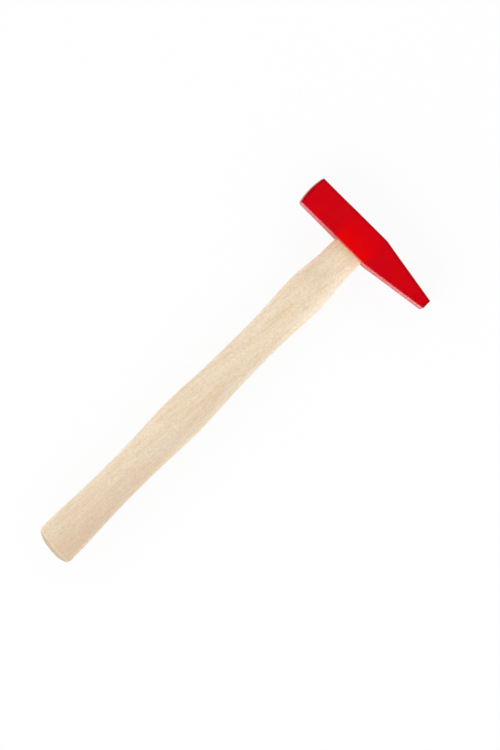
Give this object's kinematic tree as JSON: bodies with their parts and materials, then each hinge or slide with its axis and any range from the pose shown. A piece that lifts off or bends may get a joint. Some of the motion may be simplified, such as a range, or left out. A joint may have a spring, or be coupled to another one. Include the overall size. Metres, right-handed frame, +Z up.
{
  "type": "fitters hammer",
  "caption": "Fitters hammer lying on its cheek: red forged head with a crowned square face and a cross pein, on a waisted oval wooden handle wedged in the eye.",
  "frame": {"origin": "on the bench plane that the lower cheek rests on, under the middle of the eye", "axes": "+X along the handle from the butt to the head, +Y toward the striking face, so the pein is at -Y, +Z up off the bench, through the cheeks"},
  "size_m": [0.2717, 0.0979, 0.0204],
  "materials": {
    "head_enamel": "glossy red enamel over forged steel",
    "handle_wood": "raw pale beech, sanded, not varnished",
    "wedge_wood": "raw beech, sawn off flush",
    "wedge_steel": "bare pressed steel, hammer marked"
  },
  "bodies": {
    "root": {"hammer_head": "head_enamel", "handle": "handle_wood", "wooden_wedge": "wedge_wood", "steel_wedge": "wedge_steel"}
  },
  "joints": []
}
